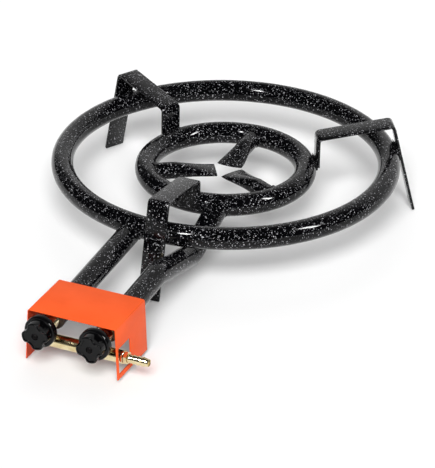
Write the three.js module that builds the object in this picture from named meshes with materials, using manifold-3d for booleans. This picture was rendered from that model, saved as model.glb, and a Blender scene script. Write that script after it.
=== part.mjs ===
// Paella burner: two gas rings of enamelled tube on three bent pan supports.
// Two needle valves under an orange sheet cover feed the rings through two long tubes.
// Millimetres, +Z up. The valves face -Y. The origin is the middle of the footprint, on the ground.
import * as THREE from 'three';
import { mergeVertices } from 'three/addons/utils/BufferGeometryUtils.js';
import Module from 'manifold-3d';

const wasm = await Module();
wasm.setup();

// Clearances
const weldGap = 0.3;
const fitGap = 0.3;
const cutOverrun = 2;

// Enamelled tube, used for both rings, the spurs and the feed tubes
const tubeDia = 24;
const tubeWall = 1.5;
const tubeRadius = tubeDia / 2;
const boreRadius = tubeRadius - tubeWall;

// Rings, by their outer diameters and the height of their centre-lines
const outerRingDia = 380;
const outerRingHeight = 66;
const innerRingDia = 198;
const innerRingHeight = 57.5;
const outerRingRadius = outerRingDia / 2 - tubeRadius;
const innerRingRadius = innerRingDia / 2 - tubeRadius;

// The supports and the spurs stand at three directions, turned a little from the valves' axis
const armCount = 3;
const armTurnDeg = 1.6;
const armStepDeg = 360 / armCount;
const frontDirectionDeg = -90;
const rearDirectionDeg = 90;

// Gas ports, drilled by turns on the inner and the outer side of each ring's top
const portRadius = 1;
const portTiltDeg = 45;
const outerPortCount = 30;
const innerPortCount = 20;

// Spurs of the inner ring, of a thinner tube, pinched flat at their inner ends
const spurDia = 18.6;
const spurRadius = spurDia / 2;
const spurTipRadius = 11;
const spurPinchLength = 44;
const spurTipWidth = 29;
const spurTipThickness = tubeWall * 2;
const spurTipDrop = 2;
const spurBoreEndShare = 0.45;

// Pan supports of flat bar, each with a leg that stands on the ground
const barWidth = 24;
const barThickness = 3;
const barBendRadius = 3;
const supportInnerTop = 92.9;
const supportOuterTop = 104.2;
const supportOuterTopRadius = 181.8;
const supportLegSplayDeg = 14;
const supportInnerLegBottom = innerRingHeight;

// Feed tubes, side by side under the cover
const feedSpacing = 60;
const feedMouthY = -354;
const feedMouthHeight = 45.6;
const feedRiseDeg = 3.8;
const feedHoleRadius = 5.5;
const outerFeedHoleDropDeg = 35;
const outerFeedEndReach = 7;
const outerFeedEndCutDeg = 40;
const innerFeedFirstBendY = -243;
const innerFeedSecondBendY = -155;
const innerFeedSecondBendHeight = 34;
const innerFeedBendRadius = 28;
const innerFeedRingHeight = 60.6;

// Air slots in the feed tubes, behind the mixer plates
const airSlotStart = 4;
const airSlotLength = 14;
const airSlotHeight = 9;

// Mixer plates that close the mouths and carry the valves
const mixerPlateThickness = 2;

// Sheet cover over the valves, its sides standing out a little below
const coverSideRoom = 5.5;
const coverDepth = 68;
const coverSideHeight = 57.5;
const coverOverhang = 22.4;
const coverSplay = 2.8;
const coverSheet = 1.2;
const coverBendRadius = 1.2;
const windowWidth = 26.7;
const windowHeight = 28.5;
const windowFromFront = 4;
const windowFromBottom = 5;

// Brass gas manifold across the valves, below their axes
const manifoldDia = 14;
const manifoldBoreDia = 10;
const manifoldDrop = 20;
const manifoldSetForward = 3.8;
const manifoldLeftOverhang = 10;
const manifoldRightOverhang = 23;
const manifoldThreadLength = 7;

// End plug of the manifold
const plugHeadFlats = 12;
const plugHeadLength = 4;

// Barbed hose nozzle
const nozzleBoreRadius = 1.6;
const nozzleCollarFlats = 12;
const nozzleCollarLength = 4;
const nozzleBarbCount = 4;
const nozzleBarbPitch = 5;
const nozzleBarbRadius = 5;
const nozzleNeckRadius = 4.1;
const nozzleEndLength = 2.5;

// Valve bodies, turned about the axes of the tubes' mouths
const valveBodyRadius = 8.5;
const valveStubRadius = 4.5;
const valveStubReach = 2;
const valveStubBoreRadius = 2.8;
const valveSeatRadius = 1.3;
const valveSeatLength = 1.4;
const valveSeatInset = 0.5;
const valveChamberRadius = 3.6;
const valveChamberLength = 8.7;
const valveGlandBoreRadius = 6;
const valveGlandBoreDepth = 3.2;
const valveLegRadius = 3.6;
const valveLegBoreRadius = 2.2;
const valveChamfer = 0.8;

// Gland nuts
const glandFlats = 15;
const glandHeadLength = 4.6;
const glandSpigotLength = 2.8;

// Spindles with a needle tip, a groove for the seal and a flat for the knob
const spindleRadius = 3;
const spindleTipRadius = 0.6;
const spindleNeedleRadius = 1.9;
const spindleNeedleShare = 0.32;
const spindleFlatDepth = 0.8;
const spindleGrooveRadius = 1.9;
const spindleGrooveInset = 1.2;
const sealRadius = 0.5;

// Injectors screwed into the ends of the valve bodies
const injectorThreadRadius = 2.5;
const injectorThreadLength = 4;
const injectorFlats = 8;
const injectorHeadLength = 3;
const injectorConeLength = 4;
const injectorTipRadius = 1.6;
const injectorJetRadius = 0.5;

// Locknuts in front of the mixer plates
const locknutFlats = 14;
const locknutLength = 3.3;

// Control knobs with four lobes in front of a round skirt
const knobGlandGap = 1.6;
const knobDepth = 18;
const knobLobeCount = 4;
const knobLobeRadius = 14.6;
const knobValleyRadius = 11.2;
const knobLobePhaseDeg = 12;
const knobLobeDepth = 10.5;
const knobSkirtRadius = 16.8;
const knobSkirtChamfer = 1.5;
const knobFaceChamfer = 1.2;
const knobRecessRadius = 3.6;
const knobRecessDepth = 3;
const knobWebThickness = 2.7;
const knobScrewHeadRadius = 2.9;
const knobScrewHeadLength = 1.8;
const knobScrewRadius = 1.2;
const knobScrewLength = 7;
const knobScrewSlotWidth = 0.8;
const knobScrewSlotDepth = 0.7;

// Facets of the round shapes
const ringSteps = 60;
const innerRingSteps = 40;
const tubeSides = 12;
const boreSides = 6;
const jetSides = 8;
const portSides = 6;
const feedSides = 14;
const feedSteps = 20;
const turnedSides = 20;
const smallSides = 12;
const bendSteps = 4;
const knobSides = 40;

// Places along the valves' axes, from the tubes' mouths forward to the knobs' faces
const valveAxisHeight = feedMouthHeight;
const mixerPlateRearY = feedMouthY - weldGap;
const locknutRearY = mixerPlateRearY - mixerPlateThickness - weldGap;
const locknutFrontY = locknutRearY - locknutLength;
const valveShoulderY = locknutFrontY - weldGap;
const valveStubEndY = feedMouthY + valveStubReach;
const valveSeatRearY = valveShoulderY - valveSeatInset;
const valveSeatFrontY = valveSeatRearY - valveSeatLength;
const glandBoreEndY = valveSeatFrontY - valveChamberLength;
const valveBodyFrontY = glandBoreEndY - valveGlandBoreDepth;
const glandHeadRearY = valveBodyFrontY - fitGap;
const glandFrontY = glandHeadRearY - glandHeadLength;
const knobRearY = glandFrontY - knobGlandGap;
const knobFaceY = knobRearY - knobDepth;
const spindleFrontY = knobFaceY + knobRecessDepth + knobWebThickness + fitGap;

// Manifold's axis and ends
const manifoldY = valveShoulderY - manifoldSetForward;
const manifoldHeight = valveAxisHeight - manifoldDrop;
const manifoldLeftEndX = -feedSpacing / 2 - manifoldLeftOverhang;
const manifoldRightEndX = feedSpacing / 2 + manifoldRightOverhang;

const rad = THREE.MathUtils.degToRad;
const alongY = new THREE.Vector3(0, 1, 0);

// Closed three.js geometry to a solid; points that coincide are merged
function solid(geometry, matrix = new THREE.Matrix4()) {
  const bare = geometry.clone().applyMatrix4(matrix);
  bare.deleteAttribute('normal');
  bare.deleteAttribute('uv');
  const merged = mergeVertices(bare);
  const corners = Array.from(merged.index.array);
  const triangles = [];
  for (let i = 0; i < corners.length; i += 3) {
    const [a, b, c] = corners.slice(i, i + 3);
    if (a !== b && b !== c && c !== a) triangles.push(a, b, c);
  }
  const mesh = new wasm.Mesh({
    numProp: 3,
    vertProperties: Float32Array.from(merged.attributes.position.array),
    triVerts: Uint32Array.from(triangles),
  });
  return new wasm.Manifold(mesh);
}

// Solid back to a three.js geometry with flat shading
function surface(body) {
  const mesh = body.getMesh();
  const geometry = new THREE.BufferGeometry();
  geometry.setAttribute('position', new THREE.BufferAttribute(mesh.vertProperties, 3));
  geometry.setIndex(new THREE.BufferAttribute(mesh.triVerts, 1));
  const flat = geometry.toNonIndexed();
  flat.computeVertexNormals();
  return flat;
}

function shift(x, y, z) {
  return new THREE.Matrix4().makeTranslation(x, y, z);
}

// Turned solid about the Y axis; the outline runs up its outside and closes on the axis or itself
function turned(outline, sides, matrix) {
  const points = outline.map(([radius, y]) => new THREE.Vector2(radius, y));
  points.push(points[0].clone());
  return solid(new THREE.LatheGeometry(points, sides), matrix);
}

// Straight round bar between two points
function rod(from, to, radius, sides) {
  const span = new THREE.Vector3().subVectors(to, from);
  const middle = new THREE.Vector3().addVectors(from, to).multiplyScalar(1 / 2);
  const turn = new THREE.Quaternion().setFromUnitVectors(alongY, span.clone().normalize());
  const matrix = new THREE.Matrix4().compose(middle, turn, new THREE.Vector3(1, 1, 1));
  return solid(new THREE.CylinderGeometry(radius, radius, span.length(), sides), matrix);
}

// Hexagon along Y between two places, by its width across flats
function hexagon(flats, fromY, toY, x, z) {
  const radius = flats / 2 / Math.cos(Math.PI / 6);
  return rod(new THREE.Vector3(x, fromY, z), new THREE.Vector3(x, toY, z), radius, 6);
}

function block(sizeX, sizeY, sizeZ, matrix) {
  return solid(new THREE.BoxGeometry(sizeX, sizeY, sizeZ), matrix);
}

// Ring of round section lying level at a height
function torus(ringRadius, radius, height, sides, steps) {
  return solid(new THREE.TorusGeometry(ringRadius, radius, sides, steps), shift(0, 0, height));
}

// Corners joined by straight runs, each corner rounded to a radius
function roundedRun(corners, radius) {
  const points = [corners[0]];
  for (let i = 1; i < corners.length - 1; i += 1) {
    const before = corners[i].clone().sub(corners[i - 1]).normalize();
    const after = corners[i + 1].clone().sub(corners[i]).normalize();
    const bend = Math.atan2(before.cross(after), before.dot(after));
    const start = corners[i].clone().addScaledVector(before, -radius * Math.tan(Math.abs(bend) / 2));
    const side = new THREE.Vector2(-before.y, before.x).multiplyScalar(Math.sign(bend) * radius);
    const centre = start.clone().add(side);
    for (let step = 0; step <= bendSteps; step += 1) {
      points.push(start.clone().rotateAround(centre, bend * step / bendSteps));
    }
  }
  points.push(corners[corners.length - 1]);
  return points;
}

// Points of a run moved sideways, so that a strip drawn with them keeps its thickness
function movedRun(points, distance) {
  return points.map((point, i) => {
    const before = point.clone().sub(points[Math.max(i - 1, 0)]).normalize();
    const after = points[Math.min(i + 1, points.length - 1)].clone().sub(point).normalize();
    const along = before.clone().add(after).normalize();
    const reach = distance / Math.max(along.dot(before), along.dot(after));
    return point.clone().add(new THREE.Vector2(-along.y, along.x).multiplyScalar(reach));
  });
}

// Flat strip bent along corners, drawn in XY and extruded by its width along Z
function bentStrip(corners, thickness, insideRadius, width) {
  const run = roundedRun(corners, insideRadius + thickness / 2);
  const left = movedRun(run, thickness / 2);
  const right = movedRun(run, -thickness / 2);
  const outline = new THREE.Shape([...right, ...left.reverse()]);
  return new THREE.ExtrudeGeometry(outline, { depth: width, bevelEnabled: false });
}

// Closed skin through rings of points that have the same count
function loft(sections) {
  const count = sections[0].length;
  const positions = [];
  const triangles = [];
  for (const section of sections) {
    for (const point of section) positions.push(point.x, point.y, point.z);
  }
  for (let s = 0; s < sections.length - 1; s += 1) {
    for (let i = 0; i < count; i += 1) {
      const a = s * count + i;
      const b = s * count + (i + 1) % count;
      triangles.push(a, b, b + count, a, b + count, a + count);
    }
  }
  const last = (sections.length - 1) * count;
  for (let i = 1; i < count - 1; i += 1) {
    triangles.push(0, i + 1, i);
    triangles.push(last, last + i, last + i + 1);
  }
  const geometry = new THREE.BufferGeometry();
  geometry.setAttribute('position', new THREE.Float32BufferAttribute(positions, 3));
  geometry.setIndex(triangles);
  return solid(geometry);
}

function turnedAboutZ(degrees) {
  return new THREE.Matrix4().makeRotationZ(rad(degrees));
}

// Directions of the supports and, half a step apart, of the spurs
function armDirection(startDeg, index) {
  return startDeg + armTurnDeg + index * armStepDeg;
}

// Height of a feed tube's centre-line on its straight front run
function feedHeight(y) {
  return feedMouthHeight + (y - feedMouthY) * Math.tan(rad(feedRiseDeg));
}

// Where a ring's centre-line passes over a feed tube, on the valve side
function ringCrossingY(ringRadius) {
  return -Math.sqrt(ringRadius ** 2 - (feedSpacing / 2) ** 2);
}

// Room that a ring takes out of the tubes that are welded to it
function ringRoom(ringRadius, height, steps) {
  return torus(ringRadius, tubeRadius + weldGap, height, tubeSides, steps);
}

// Ring with its gas ports drilled into the bore, each in the middle of a facet
function drilledRing(ring, ringRadius, height, count, steps) {
  let body = ring;
  for (let i = 0; i < count; i += 1) {
    const tilt = rad(i % 2 === 0 ? portTiltDeg : -portTiltDeg);
    const centre = new THREE.Vector3(ringRadius, 0, height);
    const outward = new THREE.Vector3(Math.sin(tilt), 0, Math.cos(tilt));
    const outside = centre.clone().addScaledVector(outward, tubeRadius + cutOverrun);
    const turn = turnedAboutZ(360 * i / count + 180 / steps);
    body = body.subtract(rod(centre, outside, portRadius, portSides).transform(turn.elements));
  }
  return body;
}

// Outer ring: a hollow hoop with a feed hole low on its outer side
function outerRing() {
  const hoop = torus(outerRingRadius, tubeRadius, outerRingHeight, tubeSides, ringSteps);
  const bore = torus(outerRingRadius, boreRadius, outerRingHeight, boreSides, ringSteps);
  const drop = rad(outerFeedHoleDropDeg);
  const centre = new THREE.Vector3(-feedSpacing / 2, ringCrossingY(outerRingRadius), outerRingHeight);
  const outward = new THREE.Vector3(0, -Math.cos(drop), -Math.sin(drop));
  const outside = centre.clone().addScaledVector(outward, tubeRadius + cutOverrun);
  const ring = hoop.subtract(bore).subtract(rod(centre, outside, feedHoleRadius, smallSides));
  return drilledRing(ring, outerRingRadius, outerRingHeight, outerPortCount, ringSteps);
}

// Inner ring: a hollow hoop with three spur holes and a feed hole
function innerRing() {
  const hoop = torus(innerRingRadius, tubeRadius, innerRingHeight, tubeSides, innerRingSteps);
  const bore = torus(innerRingRadius, boreRadius, innerRingHeight, boreSides, innerRingSteps);
  let body = hoop.subtract(bore);
  for (let i = 0; i < armCount; i += 1) {
    const inward = rod(
      new THREE.Vector3(innerRingRadius, 0, innerRingHeight),
      new THREE.Vector3(innerRingRadius - tubeRadius - cutOverrun, 0, innerRingHeight),
      spurRadius - tubeWall - fitGap,
      smallSides,
    );
    body = body.subtract(inward.transform(turnedAboutZ(armDirection(rearDirectionDeg, i)).elements));
  }
  const crossing = ringCrossingY(innerRingRadius);
  const centre = new THREE.Vector3(feedSpacing / 2, crossing, innerRingHeight);
  const outside = new THREE.Vector3(feedSpacing / 2, crossing - tubeRadius - cutOverrun, innerRingHeight);
  const ring = body.subtract(rod(centre, outside, feedHoleRadius, smallSides));
  return drilledRing(ring, innerRingRadius, innerRingHeight, innerPortCount, innerRingSteps);
}

// Section of a spur across its length: round, or a flattened round of the same height and width
function spurSection(reach, halfWidth, halfHeight, drop = 0) {
  const points = [];
  for (let i = 0; i < tubeSides; i += 1) {
    const angle = 2 * Math.PI * i / tubeSides;
    const up = Math.sin(angle) * halfHeight - drop;
    points.push(new THREE.Vector3(reach, Math.cos(angle) * halfWidth, up));
  }
  return points;
}

// Flat-ended section: the corners of the pinch, eased by the thickness of the wall
function pinchSection(reach, halfWidth, halfHeight, drop) {
  const points = [];
  for (let i = 0; i < tubeSides; i += 1) {
    const angle = 2 * Math.PI * i / tubeSides;
    const side = Math.cos(angle);
    const up = Math.sin(angle);
    const square = 1 / Math.max(Math.abs(side), Math.abs(up));
    points.push(new THREE.Vector3(reach, side * square * halfWidth, up * square * halfHeight - drop));
  }
  return points;
}

// Spur: a tube set into the inner ring's inside, its inner end pinched shut
function innerSpur(directionDeg) {
  const pinchStart = spurTipRadius + spurPinchLength;
  const skin = loft([
    pinchSection(spurTipRadius, spurTipWidth / 2, spurTipThickness / 2, spurTipDrop),
    spurSection(pinchStart, spurRadius, spurRadius),
    spurSection(innerRingRadius, spurRadius, spurRadius),
  ]);
  const boreEnd = spurTipRadius + spurPinchLength * spurBoreEndShare;
  const endWidth = THREE.MathUtils.lerp(spurTipWidth / 2, spurRadius, spurBoreEndShare) - tubeWall * 2;
  const endHeight = THREE.MathUtils.lerp(spurTipThickness / 2, spurRadius, spurBoreEndShare) - tubeWall * 2;
  const spurBore = spurRadius - tubeWall;
  const bore = loft([
    spurSection(boreEnd, endWidth, endHeight, spurTipDrop * (1 - spurBoreEndShare)),
    spurSection(pinchStart, spurBore, spurBore),
    spurSection(innerRingRadius, spurBore, spurBore),
  ]);
  const matrix = turnedAboutZ(directionDeg).premultiply(shift(0, 0, innerRingHeight));
  const tube = skin.subtract(bore).transform(matrix.elements);
  return tube.subtract(ringRoom(innerRingRadius, innerRingHeight, innerRingSteps));
}

// Outer feed tube: straight, cut to the ring's side and shut below it
function outerFeedTube() {
  const x = -feedSpacing / 2;
  const crossing = ringCrossingY(outerRingRadius);
  const endY = crossing + outerFeedEndReach;
  const along = (y) => new THREE.Vector3(x, y, feedHeight(y));
  const startY = feedMouthY - tubeDia;
  const tube = rod(along(startY), along(endY), tubeRadius, feedSides);
  const bore = rod(along(startY - cutOverrun), along(endY - tubeWall), boreRadius, smallSides);
  const lowerLip = feedHeight(endY) - tubeRadius;
  const slant = new THREE.Matrix4().makeRotationX(rad(outerFeedEndCutDeg));
  const cutSize = tubeDia * 2;
  const cutPlace = shift(x, crossing - tubeRadius, lowerLip).multiply(slant);
  const slantCut = block(cutSize, cutSize * 2, cutSize, cutPlace.multiply(shift(0, 0, -cutSize / 2)));
  const innerCut = slantCut.translate([0, 0, tubeWall]);
  const shell = tube.subtract(slantCut).subtract(bore.subtract(innerCut));
  return trimmedFeed(shell, x).subtract(ringRoom(outerRingRadius, outerRingHeight, ringSteps));
}

// Inner feed tube: dips under the outer ring and rises to the side of the inner ring
function innerFeedTube() {
  const x = feedSpacing / 2;
  const startY = feedMouthY - tubeDia;
  const corners = [
    new THREE.Vector2(startY, feedHeight(startY)),
    new THREE.Vector2(innerFeedFirstBendY, feedHeight(innerFeedFirstBendY)),
    new THREE.Vector2(innerFeedSecondBendY, innerFeedSecondBendHeight),
    new THREE.Vector2(ringCrossingY(innerRingRadius), innerFeedRingHeight),
  ];
  const points = roundedRun(corners, innerFeedBendRadius).map((p) => new THREE.Vector3(x, p.x, p.y));
  const route = new THREE.CurvePath();
  for (let i = 1; i < points.length; i += 1) route.add(new THREE.LineCurve3(points[i - 1], points[i]));
  const skin = solid(sweptRound(route, tubeRadius, feedSides));
  const bore = solid(sweptRound(route, boreRadius, smallSides));
  const room = ringRoom(innerRingRadius, innerRingHeight, innerRingSteps);
  return largestPiece(trimmedFeed(skin.subtract(bore), x).subtract(room));
}

function sweptRound(route, radius, sides) {
  const section = new THREE.Shape();
  const points = [];
  for (let i = 0; i < sides; i += 1) {
    const angle = 2 * Math.PI * i / sides;
    points.push(new THREE.Vector2(Math.cos(angle) * radius, Math.sin(angle) * radius));
  }
  section.setFromPoints(points);
  return new THREE.ExtrudeGeometry(section, { steps: feedSteps, extrudePath: route });
}

// The largest of the pieces that a cut leaves
function largestPiece(body) {
  const pieces = body.decompose();
  return pieces.reduce((best, piece) => (piece.volume() > best.volume() ? piece : best));
}

// Feed tube cut square at its mouth, with an air slot on each side behind the mixer plate
function trimmedFeed(shell, x) {
  const size = tubeDia * 3;
  const front = block(size, size, size, shift(x, feedMouthY - size / 2, feedMouthHeight));
  const slotY = feedMouthY + airSlotStart + airSlotLength / 2;
  const slot = block(size, airSlotLength, airSlotHeight, shift(x, slotY, feedHeight(slotY)));
  return shell.subtract(front).subtract(slot);
}

// Pan support: flat bar up from the inner ring's side, out over the outer ring and down to the ground
function panSupport(directionDeg) {
  const splay = rad(supportLegSplayDeg);
  const innerLeg = innerRingRadius + tubeRadius + weldGap + barThickness / 2;
  const legAtRing = outerRingRadius + (tubeRadius + weldGap + barThickness / 2) / Math.cos(splay);
  const legRadius = (height) => legAtRing + (outerRingHeight - height) * Math.tan(splay);
  const slope = (supportOuterTop - supportInnerTop) / (supportOuterTopRadius - innerLeg);
  const innerTop = supportInnerTop - barThickness / 2;
  const outerRun = (legRadius(innerTop) - innerLeg) / (1 + slope * Math.tan(splay));
  const footRise = barThickness / 2 * Math.sin(splay);
  const corners = [
    new THREE.Vector2(innerLeg, supportInnerLegBottom),
    new THREE.Vector2(innerLeg, innerTop),
    new THREE.Vector2(innerLeg + outerRun, innerTop + outerRun * slope),
    new THREE.Vector2(legRadius(footRise), footRise),
  ];
  const bar = bentStrip(corners, barThickness, barBendRadius, barWidth);
  const upright = new THREE.Matrix4().makeRotationX(rad(90));
  const matrix = turnedAboutZ(directionDeg).multiply(shift(0, barWidth / 2, 0)).multiply(upright);
  return solid(bar, matrix);
}

// Edges of the cover, which hangs over the valves in front and rests on the feed tubes behind
const coverWidth = feedSpacing + tubeDia + (coverSideRoom + coverSheet) * 2;
const coverFrontY = feedMouthY - coverOverhang;
const coverRearY = coverFrontY + coverDepth;
const tubeTopAtCover = feedHeight(coverRearY) + tubeRadius / Math.cos(rad(feedRiseDeg));
const coverTop = tubeTopAtCover + weldGap + coverSheet;
const coverBottom = coverTop - coverSideHeight;

// Cover: one folded sheet, open in front, behind and below, with a window in its right side
function valveCover() {
  const side = coverWidth / 2 - coverSheet / 2;
  const top = coverTop - coverSheet / 2;
  const corners = [
    new THREE.Vector2(side + coverSplay, coverBottom),
    new THREE.Vector2(side, top),
    new THREE.Vector2(-side, top),
    new THREE.Vector2(-side - coverSplay, coverBottom),
  ];
  const sheet = bentStrip(corners, coverSheet, coverBendRadius, coverDepth);
  const upright = new THREE.Matrix4().makeRotationX(rad(90));
  const body = solid(sheet, shift(0, coverRearY, 0).multiply(upright));
  const windowY = coverFrontY + windowFromFront + windowWidth / 2;
  const windowZ = coverBottom + windowFromBottom + windowHeight / 2;
  const window = block(coverWidth, windowWidth, windowHeight, shift(coverWidth / 2, windowY, windowZ));
  return body.subtract(window);
}

// Manifold: a brass tube, open at both ends, with a hole up into each valve
function gasManifold() {
  const at = (x) => new THREE.Vector3(x, manifoldY, manifoldHeight);
  const skin = rod(at(manifoldLeftEndX), at(manifoldRightEndX), manifoldDia / 2, turnedSides);
  const bore = rod(
    at(manifoldLeftEndX - cutOverrun),
    at(manifoldRightEndX + cutOverrun),
    manifoldBoreDia / 2,
    smallSides,
  );
  let body = skin.subtract(bore);
  for (const side of [-1, 1]) {
    const foot = new THREE.Vector3(side * feedSpacing / 2, manifoldY, manifoldHeight);
    const head = foot.clone().setZ(manifoldHeight + manifoldDia);
    body = body.subtract(rod(foot, head, valveLegBoreRadius, smallSides));
  }
  return body;
}

// Turns a solid made along Y so that its +Y points along +X, and sets it on the manifold's axis
function onManifold(x) {
  return shift(x, manifoldY, manifoldHeight).multiply(new THREE.Matrix4().makeRotationZ(rad(-90)));
}

// End plug: a hexagon head with a thread in the manifold's left end
function manifoldEndPlug() {
  const headEnd = manifoldLeftEndX - weldGap;
  const at = (x) => new THREE.Vector3(x, manifoldY, manifoldHeight);
  const headRadius = plugHeadFlats / 2 / Math.cos(Math.PI / 6);
  const head = rod(at(headEnd - plugHeadLength), at(headEnd), headRadius, 6);
  const threadRadius = manifoldBoreDia / 2 - fitGap;
  const threadEnd = manifoldLeftEndX + manifoldThreadLength;
  const thread = rod(at(headEnd - plugHeadLength / 2), at(threadEnd), threadRadius, smallSides);
  return head.add(thread);
}

// Hose nozzle: thread, collar and barbs in one turned piece, bored through
function hoseNozzle() {
  const threadRadius = manifoldBoreDia / 2 - fitGap;
  const collarStart = weldGap;
  const collarEnd = collarStart + nozzleCollarLength;
  const outline = [
    [nozzleBoreRadius, -manifoldThreadLength],
    [threadRadius, -manifoldThreadLength],
    [threadRadius, collarStart],
    [nozzleNeckRadius, collarStart],
  ];
  for (let i = 0; i < nozzleBarbCount; i += 1) {
    const start = collarEnd + i * nozzleBarbPitch;
    outline.push([nozzleNeckRadius, start]);
    outline.push([nozzleBarbRadius, start]);
    outline.push([nozzleNeckRadius, start + nozzleBarbPitch]);
  }
  const end = collarEnd + nozzleBarbCount * nozzleBarbPitch + nozzleEndLength;
  outline.push([nozzleNeckRadius, end]);
  outline.push([nozzleBoreRadius, end]);
  const barrel = turned(outline, turnedSides, onManifold(manifoldRightEndX));
  const at = (x) => new THREE.Vector3(manifoldRightEndX + x, manifoldY, manifoldHeight);
  const collarRadius = nozzleCollarFlats / 2 / Math.cos(Math.PI / 6);
  const boreStart = -manifoldThreadLength - cutOverrun;
  const bore = rod(at(boreStart), at(end + cutOverrun), nozzleBoreRadius, turnedSides);
  return barrel.add(rod(at(collarStart), at(collarEnd), collarRadius, 6)).subtract(bore);
}

// Mixer plate: closes a feed tube's mouth, with a hole for the valve's stub
function mixerPlate(x) {
  const outline = [
    [valveStubRadius + fitGap, 0],
    [tubeRadius, 0],
    [tubeRadius, mixerPlateThickness],
    [valveStubRadius + fitGap, mixerPlateThickness],
  ];
  return turned(outline, turnedSides, shift(x, mixerPlateRearY - mixerPlateThickness, valveAxisHeight));
}

// Locknut on the valve's stub, between the body's shoulder and the mixer plate
function locknut(x) {
  const hole = rod(
    new THREE.Vector3(x, locknutFrontY - cutOverrun, valveAxisHeight),
    new THREE.Vector3(x, locknutRearY + cutOverrun, valveAxisHeight),
    valveStubRadius + fitGap,
    turnedSides,
  );
  return hexagon(locknutFlats, locknutFrontY, locknutRearY, x, valveAxisHeight).subtract(hole);
}

// Valve body: turned brass with a needle seat, a gland bore in front and a leg down to the manifold
function valveBody(x) {
  const outside = [
    [0, valveBodyFrontY],
    [valveBodyRadius - valveChamfer, valveBodyFrontY],
    [valveBodyRadius, valveBodyFrontY + valveChamfer],
    [valveBodyRadius, valveShoulderY - valveChamfer],
    [valveBodyRadius - valveChamfer, valveShoulderY],
    [valveStubRadius, valveShoulderY],
    [valveStubRadius, valveStubEndY],
    [0, valveStubEndY],
  ];
  const inside = [
    [0, valveBodyFrontY - cutOverrun],
    [valveGlandBoreRadius, valveBodyFrontY - cutOverrun],
    [valveGlandBoreRadius, glandBoreEndY],
    [valveChamberRadius, glandBoreEndY],
    [valveChamberRadius, valveSeatFrontY - valveChamberRadius + valveSeatRadius],
    [valveSeatRadius, valveSeatFrontY],
    [valveSeatRadius, valveSeatRearY],
    [valveStubBoreRadius, valveSeatRearY],
    [valveStubBoreRadius, valveStubEndY + cutOverrun],
    [0, valveStubEndY + cutOverrun],
  ];
  const place = shift(x, 0, valveAxisHeight);
  const axis = new THREE.Vector3(x, manifoldY, valveAxisHeight);
  const foot = axis.clone().setZ(manifoldHeight);
  const overfoot = axis.clone().setZ(manifoldHeight - cutOverrun);
  const manifoldRoom = rod(
    new THREE.Vector3(x - tubeDia, manifoldY, manifoldHeight),
    new THREE.Vector3(x + tubeDia, manifoldY, manifoldHeight),
    manifoldDia / 2 + weldGap,
    turnedSides,
  );
  return turned(outside, turnedSides, place)
    .add(rod(foot, axis, valveLegRadius, smallSides))
    .subtract(turned(inside, smallSides, place))
    .subtract(rod(overfoot, axis, valveLegBoreRadius, smallSides))
    .subtract(manifoldRoom);
}

// Gland nut: a hexagon with a spigot in the body's front bore, bored for the spindle
function glandNut(x) {
  const spigotStart = glandHeadRearY - glandHeadLength / 2;
  const spigotEnd = valveBodyFrontY + glandSpigotLength;
  const at = (y) => new THREE.Vector3(x, y, valveAxisHeight);
  const boreStart = at(glandFrontY - cutOverrun);
  return hexagon(glandFlats, glandFrontY, glandHeadRearY, x, valveAxisHeight)
    .add(rod(at(spigotStart), at(spigotEnd), valveGlandBoreRadius - fitGap, turnedSides))
    .subtract(rod(boreStart, at(spigotEnd + cutOverrun), spindleRadius + fitGap, turnedSides));
}

// Where the needle's tip stands when the valve is shut, and the seal's groove behind the gland bore
const needleTipY = valveSeatFrontY + spindleTipRadius;
const needleStartY = needleTipY - valveChamberLength * spindleNeedleShare;
const grooveStartY = glandBoreEndY + spindleGrooveInset;
const grooveEndY = grooveStartY + (sealRadius + fitGap) * 2;

// Spindle: a needle in the chamber, a groove for the seal, a round shank and a flat for the knob
function spindle(x) {
  const outline = [
    [0, spindleFrontY],
    [spindleRadius, spindleFrontY],
    [spindleRadius, grooveStartY],
    [spindleGrooveRadius, grooveStartY],
    [spindleGrooveRadius, grooveEndY],
    [spindleRadius, grooveEndY],
    [spindleNeedleRadius, needleStartY],
    [spindleTipRadius, needleTipY],
    [0, needleTipY],
  ];
  const flatLength = knobRearY + fitGap - spindleFrontY;
  const flatY = spindleFrontY + flatLength / 2;
  const flatZ = valveAxisHeight + spindleRadius - spindleFlatDepth + spindleRadius;
  const flat = block(tubeDia, flatLength, spindleRadius * 2, shift(x, flatY, flatZ));
  const screwHole = rod(
    new THREE.Vector3(x, spindleFrontY - cutOverrun, valveAxisHeight),
    new THREE.Vector3(x, spindleFrontY + knobScrewLength + fitGap, valveAxisHeight),
    knobScrewRadius + fitGap,
    smallSides,
  );
  return turned(outline, turnedSides, shift(x, 0, valveAxisHeight)).subtract(flat).subtract(screwHole);
}

// Rubber ring in the spindle's groove
function spindleSeal(x) {
  const ringRadius = spindleGrooveRadius + sealRadius + fitGap;
  const upright = new THREE.Matrix4().makeRotationX(rad(90));
  const y = (grooveStartY + grooveEndY) / 2;
  const ring = new THREE.TorusGeometry(ringRadius, sealRadius, jetSides, turnedSides);
  return solid(ring, shift(x, y, valveAxisHeight).multiply(upright));
}

// Injector: thread in the stub, hexagon and cone, with a jet hole
function injector(x) {
  const headFront = valveStubEndY + fitGap;
  const headRear = headFront + injectorHeadLength;
  const tip = headRear + injectorConeLength;
  const threadEnd = valveStubEndY - injectorThreadLength;
  const at = (y) => new THREE.Vector3(x, y, valveAxisHeight);
  const outline = [
    [0, threadEnd],
    [injectorThreadRadius, threadEnd],
    [injectorThreadRadius, headRear],
    [injectorTipRadius, tip],
    [0, tip],
  ];
  return turned(outline, smallSides, shift(x, 0, valveAxisHeight))
    .add(hexagon(injectorFlats, headFront, headRear, x, valveAxisHeight))
    .subtract(rod(at(threadEnd - cutOverrun), at(tip + cutOverrun), injectorJetRadius, jetSides));
}

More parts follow.
